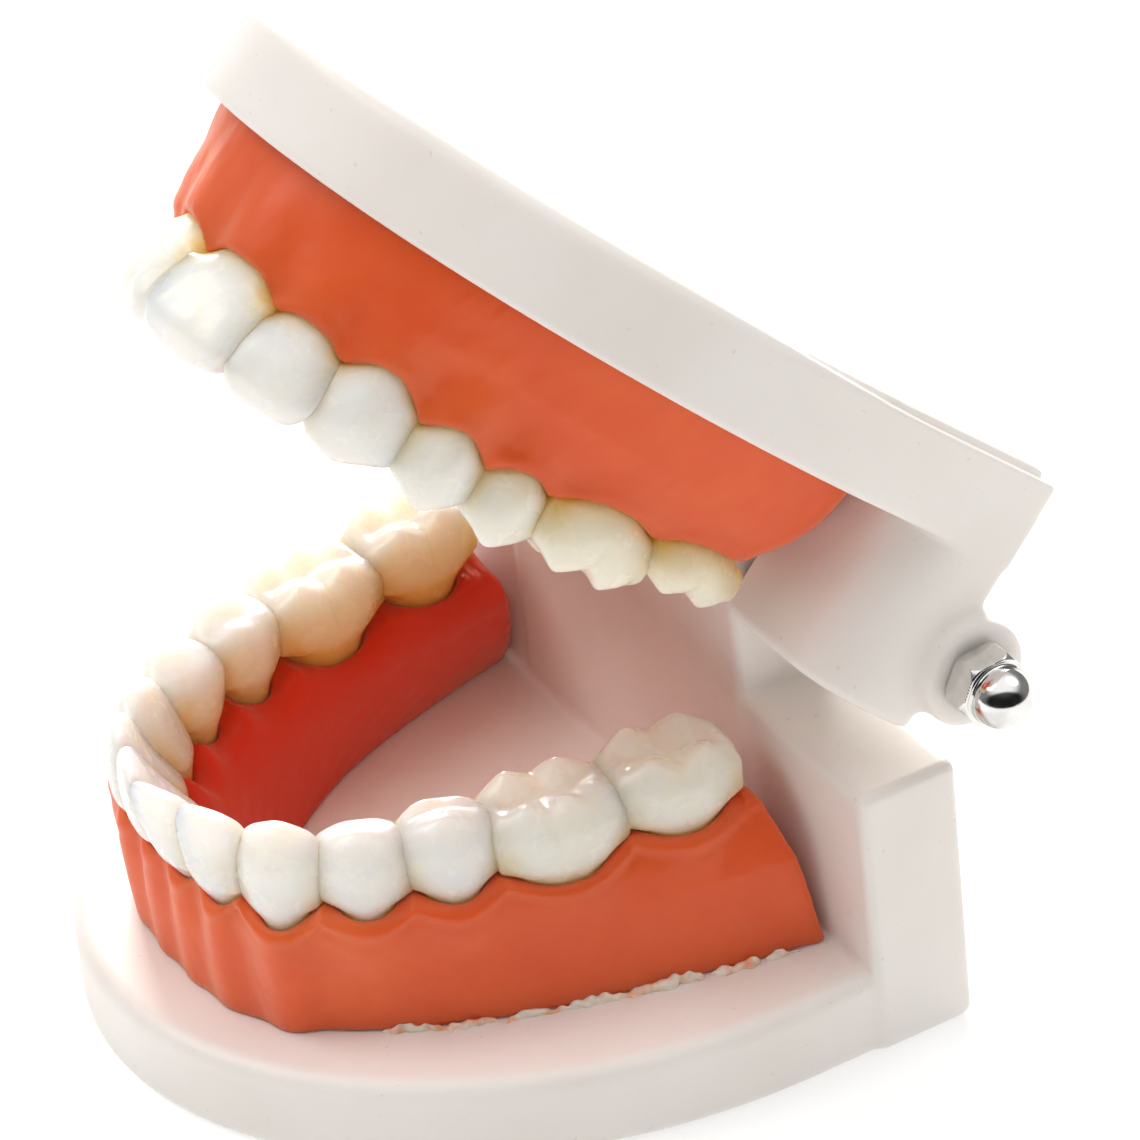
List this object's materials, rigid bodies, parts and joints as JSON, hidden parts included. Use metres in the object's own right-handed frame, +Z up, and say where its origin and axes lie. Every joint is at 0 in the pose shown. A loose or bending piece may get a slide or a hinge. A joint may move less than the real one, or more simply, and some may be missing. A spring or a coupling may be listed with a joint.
{
  "type": "typodont model",
  "caption": "Hinged teaching jaw: two white D-shaped bases on a steel rod with acorn nuts, horseshoe gums and separate teeth, standing half open.",
  "frame": {"origin": "middle of the lower base's flat underside", "axes": "+Z up off the surface it stands on, -Y to the front of the mouth, +X to the wearer's left"},
  "size_m": [0.0818, 0.0666, 0.0815],
  "materials": {
    "white_plastic": "smooth satin white",
    "gum_plastic": "glossy orange-red",
    "tooth_plastic": "glossy ivory",
    "bright_steel": "bright plated"
  },
  "bodies": {
    "lower_jaw": {"lower_base": "white_plastic", "lower_gum": "gum_plastic", "lower_left_central_incisor": "tooth_plastic", "lower_left_lateral_incisor": "tooth_plastic", "lower_left_canine": "tooth_plastic", "lower_left_first_premolar": "tooth_plastic", "lower_left_second_premolar": "tooth_plastic", "lower_left_first_molar": "tooth_plastic", "lower_left_second_molar": "tooth_plastic", "lower_right_central_incisor": "tooth_plastic", "lower_right_lateral_incisor": "tooth_plastic", "lower_right_canine": "tooth_plastic", "lower_right_first_premolar": "tooth_plastic", "lower_right_second_premolar": "tooth_plastic", "lower_right_first_molar": "tooth_plastic", "lower_right_second_molar": "tooth_plastic"},
    "upper_jaw": {"upper_base": "white_plastic", "upper_gum": "gum_plastic", "upper_left_central_incisor": "tooth_plastic", "upper_left_lateral_incisor": "tooth_plastic", "upper_left_canine": "tooth_plastic", "upper_left_first_premolar": "tooth_plastic", "upper_left_second_premolar": "tooth_plastic", "upper_left_first_molar": "tooth_plastic", "upper_left_second_molar": "tooth_plastic", "upper_right_central_incisor": "tooth_plastic", "upper_right_lateral_incisor": "tooth_plastic", "upper_right_canine": "tooth_plastic", "upper_right_first_premolar": "tooth_plastic", "upper_right_second_premolar": "tooth_plastic", "upper_right_first_molar": "tooth_plastic", "upper_right_second_molar": "tooth_plastic", "hinge_rod": "bright_steel", "left_acorn_nut": "bright_steel", "right_acorn_nut": "bright_steel"}
  },
  "joints": [
    {"name": "jaw_hinge", "type": "hinge", "parent": "lower_jaw", "child": "upper_jaw", "pos_m": [0, 0.0295, 0.0312], "axis": [-1, 0, 0], "range_deg": [-39, 65]}
  ]
}
